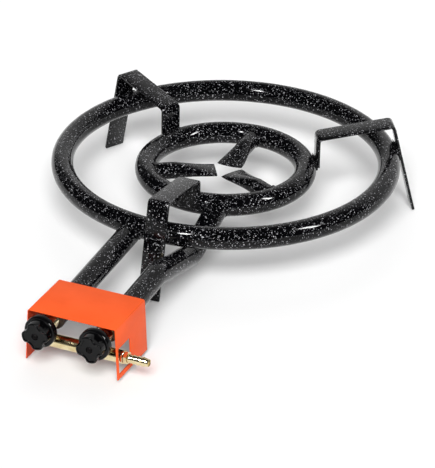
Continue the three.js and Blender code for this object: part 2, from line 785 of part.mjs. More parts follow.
// Outline of the knob's grip: broad lobes with narrow valleys between them
function knobGripShape() {
  const points = [];
  for (let i = 0; i < knobSides; i += 1) {
    const angle = 2 * Math.PI * i / knobSides;
    const valley = (1 - Math.cos(knobLobeCount * (angle - rad(knobLobePhaseDeg)))) / 2;
    const radius = THREE.MathUtils.lerp(knobLobeRadius, knobValleyRadius, valley ** 2);
    points.push(new THREE.Vector2(Math.cos(angle) * radius, Math.sin(angle) * radius));
  }
  return new THREE.Shape(points);
}

// Control knob: lobed grip, round skirt, D-hole for the spindle and a recess for its screw
function controlKnob(x) {
  const skirtStart = knobFaceY + knobLobeDepth;
  const gripDepth = knobLobeDepth + cutOverrun - knobFaceChamfer * 2;
  const grip = new THREE.ExtrudeGeometry(knobGripShape(), {
    depth: gripDepth,
    bevelSize: knobFaceChamfer,
    bevelOffset: -knobFaceChamfer,
    bevelThickness: knobFaceChamfer,
    bevelSegments: 1,
  });
  const upright = new THREE.Matrix4().makeRotationX(rad(90));
  const gripRearY = knobFaceY + gripDepth + knobFaceChamfer;
  const gripPlace = shift(x, gripRearY, valveAxisHeight).multiply(upright);
  const skirt = [
    [0, skirtStart],
    [knobSkirtRadius - knobSkirtChamfer, skirtStart],
    [knobSkirtRadius, skirtStart + knobSkirtChamfer],
    [knobSkirtRadius, knobRearY],
    [0, knobRearY],
  ];
  const at = (y) => new THREE.Vector3(x, y, valveAxisHeight);
  const recessEnd = at(knobFaceY + knobRecessDepth);
  const recess = rod(at(knobFaceY - cutOverrun), recessEnd, knobRecessRadius, turnedSides);
  const holeFront = spindleFrontY - fitGap;
  const flatZ = valveAxisHeight + spindleRadius - spindleFlatDepth + fitGap + spindleRadius;
  const flatY = (holeFront + knobRearY) / 2;
  const flatLength = knobRearY - holeFront + cutOverrun;
  const flat = block(tubeDia, flatLength, spindleRadius * 2, shift(x, flatY, flatZ));
  const hole = rod(at(holeFront), at(knobRearY + cutOverrun), spindleRadius + fitGap, turnedSides);
  return solid(grip, gripPlace)
    .add(turned(skirt, knobSides, shift(x, 0, valveAxisHeight)))
    .subtract(hole.subtract(flat))
    .subtract(recess)
    .subtract(rod(at(knobFaceY), at(spindleFrontY), knobScrewRadius + fitGap, smallSides));
}

// Screw that holds the knob to the spindle, with a slotted head in the recess
function knobScrew(x) {
  const headRear = knobFaceY + knobRecessDepth - fitGap;
  const headFront = headRear - knobScrewHeadLength;
  const at = (y) => new THREE.Vector3(x, y, valveAxisHeight);
  const slotY = headFront + knobScrewSlotDepth / 2;
  const slotWide = knobScrewHeadRadius * 2 + cutOverrun;
  const shankStart = headFront + knobScrewHeadLength / 2;
  const shank = rod(at(shankStart), at(spindleFrontY + knobScrewLength), knobScrewRadius, smallSides);
  return rod(at(headFront), at(headRear), knobScrewHeadRadius, turnedSides)
    .add(shank)
    .subtract(block(slotWide, knobScrewSlotDepth, knobScrewSlotWidth, shift(x, slotY, valveAxisHeight)));
}

// Materials, one colour and finish for each kind of stuff
const enamel = { color: 0x17171a, roughness: 0.25, metalness: 0 };
const orangePaint = { color: 0xff672d, roughness: 0.5, metalness: 0 };
const brass = { color: 0xd9b14a, roughness: 0.25, metalness: 1 };
const steel = { color: 0x8c7a68, roughness: 0.5, metalness: 1 };
const blackPlastic = { color: 0x101010, roughness: 0.2, metalness: 0 };
const rubber = { color: 0x1c1c1c, roughness: 0.9, metalness: 0 };

const burner = new THREE.Group();

function addPiece(name, body, finish) {
  const mesh = new THREE.Mesh(surface(body), new THREE.MeshStandardMaterial(finish));
  mesh.name = name;
  burner.add(mesh);
}

addPiece('outer_ring', outerRing(), enamel);
addPiece('inner_ring', innerRing(), enamel);
['rear', 'left', 'right'].forEach((place, i) => {
  addPiece(`inner_spur_${place}`, innerSpur(armDirection(rearDirectionDeg, i)), enamel);
});
['front', 'right', 'left'].forEach((place, i) => {
  addPiece(`pan_support_${place}`, panSupport(armDirection(frontDirectionDeg, i)), enamel);
});
addPiece('outer_feed_tube', outerFeedTube(), enamel);
addPiece('inner_feed_tube', innerFeedTube(), enamel);
addPiece('valve_cover', valveCover(), orangePaint);
addPiece('gas_manifold', gasManifold(), brass);
addPiece('manifold_end_plug', manifoldEndPlug(), brass);
addPiece('hose_nozzle', hoseNozzle(), brass);
for (const [side, x] of [['left', -feedSpacing / 2], ['right', feedSpacing / 2]]) {
  addPiece(`mixer_plate_${side}`, mixerPlate(x), steel);
  addPiece(`locknut_${side}`, locknut(x), steel);
  addPiece(`valve_body_${side}`, valveBody(x), brass);
  addPiece(`gland_nut_${side}`, glandNut(x), brass);
  addPiece(`spindle_${side}`, spindle(x), brass);
  addPiece(`spindle_seal_${side}`, spindleSeal(x), rubber);
  addPiece(`injector_${side}`, injector(x), brass);
  addPiece(`control_knob_${side}`, controlKnob(x), blackPlastic);
  addPiece(`knob_screw_${side}`, knobScrew(x), steel);
}

// The origin goes to the middle of the footprint
const extent = new THREE.Box3().setFromObject(burner);
const footprintMiddle = extent.getCenter(new THREE.Vector3()).setZ(extent.min.z);
burner.position.copy(footprintMiddle).negate();
burner.updateMatrixWorld(true);

export default burner;
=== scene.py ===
import math

import bpy
from mathutils import Matrix, Vector


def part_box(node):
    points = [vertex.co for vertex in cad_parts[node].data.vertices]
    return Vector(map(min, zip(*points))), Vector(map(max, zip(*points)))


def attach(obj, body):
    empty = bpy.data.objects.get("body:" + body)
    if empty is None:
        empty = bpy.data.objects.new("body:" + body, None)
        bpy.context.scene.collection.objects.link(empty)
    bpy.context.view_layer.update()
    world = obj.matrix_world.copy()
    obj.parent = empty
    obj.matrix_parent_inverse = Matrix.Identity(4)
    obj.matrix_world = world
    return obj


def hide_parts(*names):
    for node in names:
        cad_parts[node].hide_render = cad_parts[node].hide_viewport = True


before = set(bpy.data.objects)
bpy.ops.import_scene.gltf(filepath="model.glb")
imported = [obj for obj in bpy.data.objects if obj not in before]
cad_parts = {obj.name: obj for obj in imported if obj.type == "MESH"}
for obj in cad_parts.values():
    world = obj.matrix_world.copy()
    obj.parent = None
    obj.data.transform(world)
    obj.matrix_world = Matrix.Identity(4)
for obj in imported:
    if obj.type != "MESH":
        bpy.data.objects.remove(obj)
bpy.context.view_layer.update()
mm = 0.001

# Gas rings.
# Two hoops of 24 mm steel tube, bent round, butt welded and drilled with small gas ports near
# the top, then dipped in black enamel that is flecked with white.
ring_axis = Vector((0.235794 * mm, 104.25 * mm, 0))
tube_radius = 12 * mm
tube_wall = 1.5 * mm
outer_ring_radius = 178 * mm
outer_ring_height = 66 * mm
inner_ring_radius = 87 * mm
inner_ring_height = 57.5 * mm
outer_ports, outer_port_start = 30, 3
inner_ports, inner_port_start = 20, 4.5
port_radius = 1 * mm
port_tilt = math.radians(45)
port_drill = (8 * mm, 14 * mm)
enamel_black = (0.0005, 0.0005, 0.0007, 1)
enamel_grey = (0.0014, 0.0014, 0.002, 1)
small_flecks = {"cells": 700.0, "chosen": 0.7, "size": 0.5}
large_flecks = {"cells": 400.0, "chosen": 0.4, "size": 0.36}
fleck_jag = 0.9 * mm
fleck_edge = 0.06
fleck_dim = (0.03, 0.03, 0.035, 1)
fleck_white = (0.45, 0.45, 0.47, 1)


def alone(piece):
    """Nothing but this piece is selected."""
    bpy.ops.object.select_all(action="DESELECT")
    piece.select_set(True)
    bpy.context.view_layer.objects.active = piece


def placed(piece):
    """The piece's turn and place go into its mesh."""
    alone(piece)
    bpy.ops.object.transform_apply(location=True, rotation=True, scale=True)
    return piece


def applied(piece):
    """The piece's modifiers go into its mesh."""
    alone(piece)
    for modifier in list(piece.modifiers):
        bpy.ops.object.modifier_apply(modifier=modifier.name)
    return piece


def combined(piece, tool, operation="DIFFERENCE"):
    """The tool is cut from the piece, added to it or kept in common with it, and is then gone."""
    boolean = piece.modifiers.new("cut", "BOOLEAN")
    boolean.operation = operation
    boolean.object = tool
    applied(piece)
    bpy.data.objects.remove(tool)
    return piece


def hoop(ring_radius, height, radius, around=240, across=36):
    """A round ring lying level, about the burner's axis."""
    bpy.ops.mesh.primitive_torus_add(
        location=ring_axis + Vector((0, 0, height)),
        major_radius=ring_radius,
        minor_radius=radius,
        major_segments=around,
        minor_segments=across,
    )
    return placed(bpy.context.active_object)


def pin(start, end, radius, sides=24):
    """A straight round pin between two points."""
    span = Vector(end) - Vector(start)
    bpy.ops.mesh.primitive_cylinder_add(
        vertices=sides,
        radius=radius,
        depth=span.length,
        location=(Vector(start) + Vector(end)) / 2,
        rotation=span.to_track_quat("Z", "Y").to_euler(),
    )
    return placed(bpy.context.active_object)


def joined(pieces):
    """Several shapes that don't touch become one."""
    alone(pieces[0])
    for piece in pieces[1:]:
        piece.select_set(True)
    bpy.ops.object.join()
    return pieces[0]


def finished(piece, name, finish, node, body="burner", smooth_below=35):
    """The piece gets its name, finish and shading, stands for a solid and rides on a body."""
    piece.name = name
    piece.data.materials.clear()
    piece.data.materials.append(finish)
    alone(piece)
    bpy.ops.object.shade_smooth_by_angle(angle=math.radians(smooth_below))
    if node:
        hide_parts(node)
    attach(piece, body)
    return piece


def node(tree, kind, settings=None, **sockets):
    """A shader node; a socket is given by its name or number, and takes a value or a link."""
    made = tree.nodes.new("ShaderNode" + kind)
    for key, value in (settings or {}).items():
        setattr(made, key, value)
    for key, value in sockets.items():
        target = made.inputs[int(key[1:])] if key[0] == "_" else made.inputs[key.replace("_", " ")]
        if isinstance(value, bpy.types.NodeSocket):
            tree.links.new(value, target)
        else:
            target.default_value = value
    return made


def blank_finish(name):
    """A material with its shader, and the place on the object in metres."""
    finish = bpy.data.materials.new(name)
    finish.use_nodes = True
    tree = finish.node_tree
    shader = tree.nodes["Principled BSDF"]
    place = node(tree, "TexCoord").outputs["Object"]
    return finish, tree, shader, place


def mix(tree, share, first, second):
    """A colour between two colours."""
    both = node(tree, "Mix", {"data_type": "RGBA"}, _0=share, _6=first, _7=second)
    return both.outputs[2]


def flecks(tree, place, under, cells, chosen, size):
    """White flecks in some of the cells, of many sizes and tones, over a colour."""
    grain = node(tree, "TexNoise", Vector=place, Scale=1900.0, Detail=1.0)
    aside = node(tree, "VectorMath", {"operation": "SCALE"}, _0=grain.outputs[1], Scale=fleck_jag)
    ragged = node(tree, "VectorMath", {"operation": "ADD"}, _0=place, _1=aside.outputs[0])
    cell = node(tree, "TexVoronoi", Vector=ragged.outputs[0], Scale=cells, Randomness=1.0)
    chance = node(tree, "SeparateColor", Color=cell.outputs["Color"])
    picked = chance.outputs["Red"]
    radius = node(tree, "MapRange", Value=picked, From_Min=1 - chosen, From_Max=1.0, To_Max=size)
    away = cell.outputs["Distance"]
    inside = node(tree, "Math", {"operation": "SUBTRACT"}, _0=radius.outputs[0], _1=away)
    mask = node(tree, "MapRange", Value=inside.outputs[0], From_Min=0.0, From_Max=fleck_edge)
    rare = node(tree, "Math", {"operation": "POWER"}, _0=chance.outputs["Green"], _1=1.6)
    tone = mix(tree, rare.outputs[0], fleck_dim, fleck_white)
    return mix(tree, mask.outputs[0], under, tone)


def flecked_enamel():
    """Glossy black glass enamel with white flecks and a slight ripple from the dipping."""
    finish, tree, shader, place = blank_finish("flecked_enamel")
    patches = node(tree, "TexNoise", Vector=place, Scale=60.0, Detail=3.0)
    colour = mix(tree, patches.outputs[0], enamel_black, enamel_grey)
    colour = flecks(tree, place, colour, **small_flecks)
    colour = flecks(tree, place, colour, **large_flecks)
    tree.links.new(colour, shader.inputs["Base Color"])
    ripple = node(tree, "TexNoise", Vector=place, Scale=190.0, Detail=2.0)
    gloss = node(tree, "MapRange", Value=patches.outputs[0], To_Min=0.05, To_Max=0.11)
    tree.links.new(gloss.outputs[0], shader.inputs["Roughness"])
    bump = node(tree, "Bump", Strength=0.12, Distance=0.0002, Height=ripple.outputs[0])
    tree.links.new(bump.outputs[0], shader.inputs["Normal"])
    shader.inputs["Specular IOR Level"].default_value = 0.2
    return finish


enamel = flecked_enamel()


def gas_ring(name, solid, ring_radius, height, ports, port_start):
    """A hollow hoop with gas ports that lean outwards and inwards by turns."""
    ring = hoop(ring_radius, height, tube_radius)
    wall = ring.modifiers.new("wall", "SOLIDIFY")
    wall.thickness = tube_wall
    applied(ring)
    drills = []
    for i in range(ports):
        turn = Matrix.Rotation(math.radians(360 * i / ports + port_start), 3, "Z")
        tilt = port_tilt if i % 2 == 0 else -port_tilt
        middle = ring_axis + turn @ Vector((ring_radius, 0, 0)) + Vector((0, 0, height))
        outward = turn @ Vector((math.sin(tilt), 0, math.cos(tilt)))
        start, end = (middle + outward * reach for reach in port_drill)
        drills.append(pin(start, end, port_radius, 16))
    combined(ring, joined(drills))
    return finished(ring, name, enamel, solid)


gas_ring(
    "outer_ring_tube", "outer_ring", outer_ring_radius, outer_ring_height, outer_ports, outer_port_start
)
gas_ring(
    "inner_ring_tube", "inner_ring", inner_ring_radius, inner_ring_height, inner_ports, inner_port_start
)

# Spurs of the inner ring.
# Three short ends of 19 mm tube, cut to the inner ring's side and welded all round, with
# their free ends pressed flat and a little downwards, so that no gas leaves there.
spur_radius = 9.3 * mm
spur_tip = 11 * mm
spur_pinch = 44 * mm
spur_tip_width = 29 * mm
spur_tip_thickness = 3 * mm
spur_tip_drop = 2 * mm
first_spur = 91.6
spur_stations = 12
tube_sides = 40
seam_depth = 1.2 * mm
seam_height = 0.35 * mm
seam_width = spur_tip_width * 0.86
bead_size = 1.7 * mm
bead_bite = 0.3 * mm
bead_grain = 0.45 * mm
bead_ripple_size = 4 * mm
bead_ripple_height = 0.5 * mm


def weld_bead(name, ring_radius, ring_height, grown, shrunk):
    """A bead along a piece's joint with a ring: what their grown copies share, outside both."""
    bead = combined(grown, hoop(ring_radius, ring_height, tube_radius + bead_size), "INTERSECT")
    combined(bead, shrunk)
    combined(bead, hoop(ring_radius, ring_height, tube_radius - bead_bite))
    grain = bead.modifiers.new("grain", "REMESH")
    grain.mode = "VOXEL"
    grain.voxel_size = bead_grain
    soft = bead.modifiers.new("soft", "SMOOTH")
    soft.factor = 0.6
    soft.iterations = 3
    ripple = bead.modifiers.new("ripple", "DISPLACE")
    ripple.texture = bead_ripple
    ripple.strength = bead_ripple_height
    ripple.mid_level = 0.5
    applied(bead)
    return finished(bead, name, enamel, None, smooth_below=80)


bead_ripple = bpy.data.textures.new("bead_ripple", "CLOUDS")
bead_ripple.noise_scale = bead_ripple_size


def pinched_spur(name, solid, direction):
    """A tube drawn towards the middle from inside the ring, wider and flatter step by step."""
    turn = Matrix.Rotation(math.radians(direction), 3, "Z")
    outward = turn @ Vector((1, 0, 0))
    middle = ring_axis + Vector((0, 0, inner_ring_height))
    reach = inner_ring_radius
    bpy.ops.mesh.primitive_circle_add(
        vertices=tube_sides,
        radius=spur_radius,
        fill_type="NGON",
        location=middle + outward * reach,
        rotation=(0, math.pi / 2, math.radians(direction)),
    )
    spur = placed(bpy.context.active_object)
    sideways = turn @ Vector((0, 1, 0))
    bpy.ops.object.mode_set(mode="EDIT")
    bpy.ops.mesh.select_all(action="SELECT")
    width, thickness, drop = spur_radius, spur_radius, 0
    for i in range(spur_stations + 1):
        share = i / spur_stations
        ease = share * share * (3 - 2 * share)
        next_reach = spur_tip + spur_pinch * (1 - share)
        next_width = spur_radius + (spur_tip_width / 2 - spur_radius) * ease
        next_thickness = spur_radius + (spur_tip_thickness / 2 - spur_radius) * share
        next_drop = spur_tip_drop * ease
        step = outward * (next_reach - reach) + Vector((0, 0, drop - next_drop))
        bpy.ops.mesh.extrude_region_move(TRANSFORM_OT_translate={"value": step})
        end = middle + outward * next_reach - Vector((0, 0, next_drop))
        bpy.ops.transform.resize(
            value=(1, next_width / width, next_thickness / thickness),
            orient_type="GLOBAL",
            orient_matrix_type="GLOBAL",
            orient_matrix=(outward, sideways, (0, 0, 1)),
            center_override=end,
        )
        reach, width, thickness, drop = next_reach, next_width, next_thickness, next_drop
    bpy.ops.mesh.select_all(action="SELECT")
    bpy.ops.mesh.normals_make_consistent(inside=False)
    bpy.ops.object.mode_set(mode="OBJECT")
    combined(spur, hoop(inner_ring_radius, inner_ring_height, tube_radius))
    tip = middle + outward * spur_tip - Vector((0, 0, spur_tip_drop))
    bpy.ops.mesh.primitive_cube_add(
        size=1,
        location=tip,
        rotation=(0, 0, math.radians(direction)),
        scale=(seam_depth * 2, seam_width, seam_height),
    )
    combined(spur, placed(bpy.context.active_object))
    finished(spur, name, enamel, solid)
    root = middle + outward * (inner_ring_radius - tube_radius * 0.4)
    inside = middle + outward * (inner_ring_radius - tube_radius * 2)
    weld_bead(
        name + "_weld",
        inner_ring_radius,
        inner_ring_height,
        pin(root, inside, spur_radius + bead_size, tube_sides),
        pin(root + outward * mm, inside - outward * mm, spur_radius - bead_bite, tube_sides),
    )


for i, place in enumerate(("rear", "left", "right")):
    pinched_spur(f"spur_{place}_tube", f"inner_spur_{place}", first_spur + 120 * i)

# Pan supports.
# Three hoops of 24 x 3 mm flat bar, bent cold. Each is welded to the inner ring's side, bears
# the pan on its sloping top, passes outside the outer ring, is welded to it and stands on the ground.
bar_width = 24 * mm
bar_thickness = 3 * mm
bar_bend_radius = 4.5 * mm
bar_bend_steps = 8
bar_edge = 0.8 * mm
first_bar = -88.4
inner_leg_reach = 100.8 * mm
inner_leg_bottom = 57.5 * mm
inner_top = 91.4 * mm
outer_top_reach = 183.03 * mm
outer_top = 102.87 * mm
foot_reach = 208.588 * mm
foot_rise = 0.363 * mm


def drawn_along(corners, bend_radius, steps):
    """The section that is selected in edit mode is drawn along straight runs and round bends."""
    reached = corners[0]
    for before, corner, after in zip(corners, corners[1:], corners[2:]):
        arriving = (corner - before).normalized()
        leaving = (after - corner).normalized()
        bend = arriving.angle(leaving)
        axis = arriving.cross(leaving).normalized()
        start = corner - arriving * bend_radius * math.tan(bend / 2)
        bpy.ops.mesh.extrude_region_move(TRANSFORM_OT_translate={"value": start - reached})
        centre = start + axis.cross(arriving) * bend_radius
        bpy.ops.mesh.spin(steps=steps, angle=-bend, center=centre, axis=axis)
        reached = corner + leaving * bend_radius * math.tan(bend / 2)
    bpy.ops.mesh.extrude_region_move(TRANSFORM_OT_translate={"value": corners[-1] - reached})


def bent_strip(corners, width, thickness, across, bend_radius, edge, steps):
    """A flat strip bent along corners; across is the direction of its width."""
    first_run = (corners[1] - corners[0]).normalized()
    bpy.ops.mesh.primitive_plane_add(size=1, location=(0, 0, 0))
    strip = bpy.context.active_object
    side = Vector(across)
    strip.matrix_world = Matrix.Translation(corners[0]) @ Matrix((
        side * width, first_run.cross(side) * thickness, first_run
    )).transposed().to_4x4()
    placed(strip)
    bpy.ops.object.mode_set(mode="EDIT")
    bpy.ops.mesh.select_all(action="SELECT")
    drawn_along(corners, bend_radius, steps)
    bpy.ops.mesh.select_all(action="SELECT")
    bpy.ops.mesh.normals_make_consistent(inside=False)
    bpy.ops.object.mode_set(mode="OBJECT")
    rounding = strip.modifiers.new("rounding", "BEVEL")
    rounding.width = edge
    rounding.segments = 3
    rounding.limit_method = "ANGLE"
    rounding.angle_limit = math.radians(40)
    return applied(strip)


def grown_run(start, end, across, growth):
    """A box round a straight run of the bar, larger than the bar by a growth on all sides."""
    along = (end - start).normalized()
    bpy.ops.mesh.primitive_cube_add(size=1, location=(0, 0, 0))
    box = bpy.context.active_object
    box.matrix_world = Matrix.Translation((start + end) / 2) @ Matrix((
        across * (bar_width + 2 * growth),
        along.cross(across) * (bar_thickness + 2 * growth),
        along * ((end - start).length + 2 * growth),
    )).transposed().to_4x4()
    return placed(box)


def pan_bar(name, solid, direction):
    """One bent bar: inner leg, sloping top and outer leg, with a bead where each leg is welded."""
    turn = Matrix.Rotation(math.radians(direction), 3, "Z")
    outward = turn @ Vector((1, 0, 0))
    corners = [
        ring_axis + outward * reach + Vector((0, 0, height))
        for reach, height in (
            (inner_leg_reach, inner_leg_bottom),
            (inner_leg_reach, inner_top),
            (outer_top_reach, outer_top),
            (foot_reach, foot_rise),
        )
    ]
    across = turn @ Vector((0, 1, 0))
    bar = bent_strip(
        corners, bar_width, bar_thickness, across, bar_bend_radius, bar_edge, bar_bend_steps
    )
    finished(bar, name, enamel, solid)
    for leg, ring, ring_height, start, end in (
        ("inner", inner_ring_radius, inner_ring_height, corners[0], corners[1]),
        ("outer", outer_ring_radius, outer_ring_height, corners[2], corners[3]),
    ):
        weld_bead(
            f"{name}_{leg}_weld",
            ring,
            ring_height,
            grown_run(start, end, across, bead_size),
            grown_run(start, end, across, -bead_bite),
        )


for i, place in enumerate(("front", "right", "left")):
    pan_bar(f"pan_bar_{place}", f"pan_support_{place}", first_bar + 120 * i)

# Feed tubes.
# Two long mixing tubes of the rings' tube. The left one runs straight to the outer ring's
# underside and is welded there; the right one dips under that ring and rises to the inner one.
left_x, right_x = -29.764206 * mm, 30.235794 * mm
mouth_y, mouth_height = -249.75 * mm, 45.6 * mm
feed_rise = math.tan(math.radians(3.8))
air_slot = (14 * mm, 9 * mm)
air_slot_middle = 11 * mm
left_end_reach = 7 * mm
left_end_cut = math.radians(40)
first_bend_y = -138.75 * mm
second_bend_y, second_bend_height = -50.75 * mm, 34 * mm
inner_feed_height = 60.6 * mm
feed_bend_radius = 28 * mm
feed_bend_steps = 14
weld_reach = 30 * mm
saw_start = 20 * mm
saw_width = 60 * mm


def feed_height(y):
    """The height of both tubes' middle lines along their first straight run."""
    return mouth_height + (y - mouth_y) * feed_rise


def feed_tube(corners, steps):
    """An open tube along corners, with a wall, and an air slot on both sides behind its mouth."""
    x = corners[0].x
    first_run = (corners[1] - corners[0]).normalized()
    bpy.ops.mesh.primitive_circle_add(
        vertices=tube_sides,
        radius=tube_radius,
        location=corners[0],
        rotation=first_run.to_track_quat("Z", "Y").to_euler(),
    )
    tube = placed(bpy.context.active_object)
    bpy.ops.object.mode_set(mode="EDIT")
    bpy.ops.mesh.select_all(action="SELECT")
    drawn_along(corners, feed_bend_radius, steps)
    bpy.ops.mesh.select_all(action="SELECT")
    bpy.ops.mesh.normals_make_consistent(inside=False)
    bpy.ops.object.mode_set(mode="OBJECT")
    wall = tube.modifiers.new("wall", "SOLIDIFY")
    wall.thickness = tube_wall
    applied(tube)
    before_mouth = (x, mouth_y - saw_start, mouth_height)
    combined(tube, block(before_mouth, (saw_width, saw_start * 2, saw_width)))
    slot_y = mouth_y + air_slot_middle
    return combined(tube, block((x, slot_y, feed_height(slot_y)), (saw_width, *air_slot)))


def block(middle, size):
    """A square block for cutting."""
    bpy.ops.mesh.primitive_cube_add(size=1, location=middle, scale=size)
    return placed(bpy.context.active_object)


def ring_crossing(ring_radius, x):
    """Where a ring's middle line passes over a feed tube, on the valves' side."""
    return ring_axis.y - math.sqrt(ring_radius ** 2 - (x - ring_axis.x) ** 2)


start_y = mouth_y - saw_start
crossing = ring_crossing(outer_ring_radius, left_x)
end_y = crossing + left_end_reach
left_feed = feed_tube([Vector((left_x, y, feed_height(y))) for y in (start_y, end_y)], 1)
lip = Vector((left_x, crossing - tube_radius, feed_height(end_y) - tube_radius))
slant = Matrix.Translation(lip) @ Matrix.Rotation(left_end_cut, 4, "X")
shut = block((0, 0, 0), (28 * mm, 60 * mm, tube_wall))
shut.matrix_world = slant @ Matrix.Translation((0, 0, tube_wall / 2))
placed(shut)
low = block((0, 0, 0), (saw_width, 80 * mm, saw_width))
low.matrix_world = slant @ Matrix.Translation((0, 0, -saw_width / 2))
combined(left_feed, placed(low))
inside = [Vector((left_x, y, feed_height(y))) for y in (crossing - 40 * mm, end_y)]
combined(shut, pin(*inside, tube_radius - tube_wall / 2, tube_sides), "INTERSECT")
combined(left_feed, shut, "UNION")
combined(left_feed, hoop(outer_ring_radius, outer_ring_height, tube_radius))
finished(left_feed, "left_feed_tube", enamel, "outer_feed_tube")
toward = (inside[1] - inside[0]).normalized()
weld_bead(
    "left_feed_weld",
    outer_ring_radius,
    outer_ring_height,
    pin(inside[0], inside[1], tube_radius + bead_size, tube_sides),
    pin(inside[0] - toward * mm, inside[1] + toward * mm, tube_radius - bead_bite, tube_sides),
)

crossing = ring_crossing(inner_ring_radius, right_x)
corners = [
    Vector((right_x, start_y, feed_height(start_y))),
    Vector((right_x, first_bend_y, feed_height(first_bend_y))),
    Vector((right_x, second_bend_y, second_bend_height)),
    Vector((right_x, crossing, inner_feed_height)),
]
right_feed = feed_tube(corners, feed_bend_steps)
combined(right_feed, hoop(inner_ring_radius, inner_ring_height, tube_radius))
finished(right_feed, "right_feed_tube", enamel, "inner_feed_tube")
rise = (corners[3] - corners[2]).normalized()
weld_bead(
    "right_feed_weld",
    inner_ring_radius,
    inner_ring_height,
    pin(corners[3] - rise * weld_reach, corners[3], tube_radius + bead_size, tube_sides),
    pin(corners[3] - rise * (weld_reach + mm), corners[3] + rise * mm, tube_radius - bead_bite, tube_sides),
)

# Mixer plates, locknuts and injectors.
# A browned steel disc closes each feed tube's mouth. The valve's stub goes through it and is
# held by a locknut in front; a brass injector in the stub's end blows gas into the tube.
brown_steel = (0.09, 0.06, 0.042, 1)
blue_steel = (0.16, 0.14, 0.13, 1)
brass_bright = (0.86, 0.77, 0.5, 1)
brass_dull = (0.66, 0.52, 0.26, 1)
valve_height = 45.6 * mm
valve_axes = {"left": Vector((left_x, 0, valve_height)), "right": Vector((right_x, 0, valve_height))}
backward = (0, 1, 0)
centre_line = 0.01 * mm
overrun = 2 * mm
nut_slant = 1.6
disc_hole = 4.8 * mm
lock_nut_flats, lock_nut_chamfer = 14 * mm, 0.6 * mm
lock_nut_front, lock_nut_rear = -255.65 * mm, -252.35 * mm
jet_hole = 0.5 * mm
jet_flats, jet_chamfer = 8 * mm, 0.4 * mm
jet_head_front, jet_head_rear = -247.45 * mm, -244.45 * mm


def in_mm(*points):
    """The points of an outline, each a radius and a place along the axis in millimetres."""
    return [(radius * mm, reach * mm) for radius, reach in points]


disc_outline = in_mm(
    (4.8, -252.05), (11.5, -252.05), (12, -251.55), (12, -250.55), (11.5, -250.05), (4.8, -250.05)
)
jet_outline = in_mm(
    (0.5, -251.75), (2.2, -251.75), (2.5, -251.4), (2.5, -244.45),
    (1.9, -240.9), (1.6, -240.45), (0.5, -240.45)
)


def turned(outline, centre, along, sides=48):
    """A turned piece: a ring of points drawn along its axis and widened from step to step."""
    axis = Vector(along)
    radius, reach = outline[0]
    bpy.ops.mesh.primitive_circle_add(
        vertices=sides,
        radius=radius,
        location=Vector(centre) + axis * reach,
        rotation=axis.to_track_quat("Z", "Y").to_euler(),
    )
    piece = placed(bpy.context.active_object)
    bpy.ops.object.mode_set(mode="EDIT")
    bpy.ops.mesh.select_all(action="SELECT")
    for next_radius, next_reach in outline[1:] + outline[:1]:
        bpy.ops.mesh.extrude_region_move(TRANSFORM_OT_translate={"value": axis * (next_reach - reach)})
        widen = next_radius / radius
        bpy.ops.transform.resize(
            value=[1 if abs(part) > 0.5 else widen for part in axis],
            center_override=Vector(centre) + axis * next_reach,
        )
        radius, reach = next_radius, next_reach
    bpy.ops.mesh.select_all(action="SELECT")
    bpy.ops.mesh.remove_doubles(threshold=0.00001)
    bpy.ops.mesh.normals_make_consistent(inside=False)
    bpy.ops.object.mode_set(mode="OBJECT")
    return piece


def axis_place(axis, y):
    """The place on a valve's axis at a distance from front to back."""
    return axis + Vector((0, y, 0))


def drilled(piece, axis, front, rear, radius, sides=48):
    """A round hole along a valve's axis."""
    return combined(piece, pin(axis_place(axis, front), axis_place(axis, rear), radius, sides))


def hexagon(flats, centre, along, start, end, chamfer):
    """A hexagon bar with its corners chamfered at both ends, as a nut's are."""
    axis = Vector(along)
    corner = flats / 2 / math.cos(math.pi / 6)
    bar = pin(Vector(centre) + axis * start, Vector(centre) + axis * end, corner, 6)
    round_bar = turned(
        [
            (centre_line, start),
            (corner - chamfer * nut_slant, start),
            (corner, start + chamfer),
            (corner, end - chamfer),
            (corner - chamfer * nut_slant, end),
            (centre_line, end),
        ],
        centre,
        along,
    )
    return combined(bar, round_bar, "INTERSECT")


def turned_brass():
    """Bright brass with a little tarnish in patches."""
    finish, tree, shader, place = blank_finish("turned_brass")
    shader.inputs["Metallic"].default_value = 1.0
    tarnish = node(tree, "TexNoise", Vector=place, Scale=110.0, Detail=4.0)
    spread = node(tree, "MapRange", Value=tarnish.outputs[0], From_Min=0.35, From_Max=0.75)
    colour = mix(tree, spread.outputs[0], brass_bright, brass_dull)
    tree.links.new(colour, shader.inputs["Base Color"])
    gloss = node(tree, "MapRange", Value=tarnish.outputs[0], To_Min=0.1, To_Max=0.24)
    tree.links.new(gloss.outputs[0], shader.inputs["Roughness"])
    fine = node(tree, "TexNoise", Vector=place, Scale=1400.0, Detail=2.0)
    bump = node(tree, "Bump", Strength=0.08, Distance=0.0001, Height=fine.outputs[0])
    tree.links.new(bump.outputs[0], shader.inputs["Normal"])
    return finish


def browned_steel():
    """Bare steel that heat has browned and blued in patches."""
    finish, tree, shader, place = blank_finish("browned_steel")
    shader.inputs["Metallic"].default_value = 1.0
    heat = node(tree, "TexNoise", Vector=place, Scale=140.0, Detail=5.0)
    spread = node(tree, "MapRange", Value=heat.outputs[0], From_Min=0.3, From_Max=0.7)
    colour = mix(tree, spread.outputs[0], brown_steel, blue_steel)
    tree.links.new(colour, shader.inputs["Base Color"])
    rough = node(tree, "MapRange", Value=heat.outputs[0], To_Min=0.35, To_Max=0.6)
    tree.links.new(rough.outputs[0], shader.inputs["Roughness"])
    bump = node(tree, "Bump", Strength=0.2, Distance=0.0001, Height=heat.outputs[0])
    tree.links.new(bump.outputs[0], shader.inputs["Normal"])
    return finish


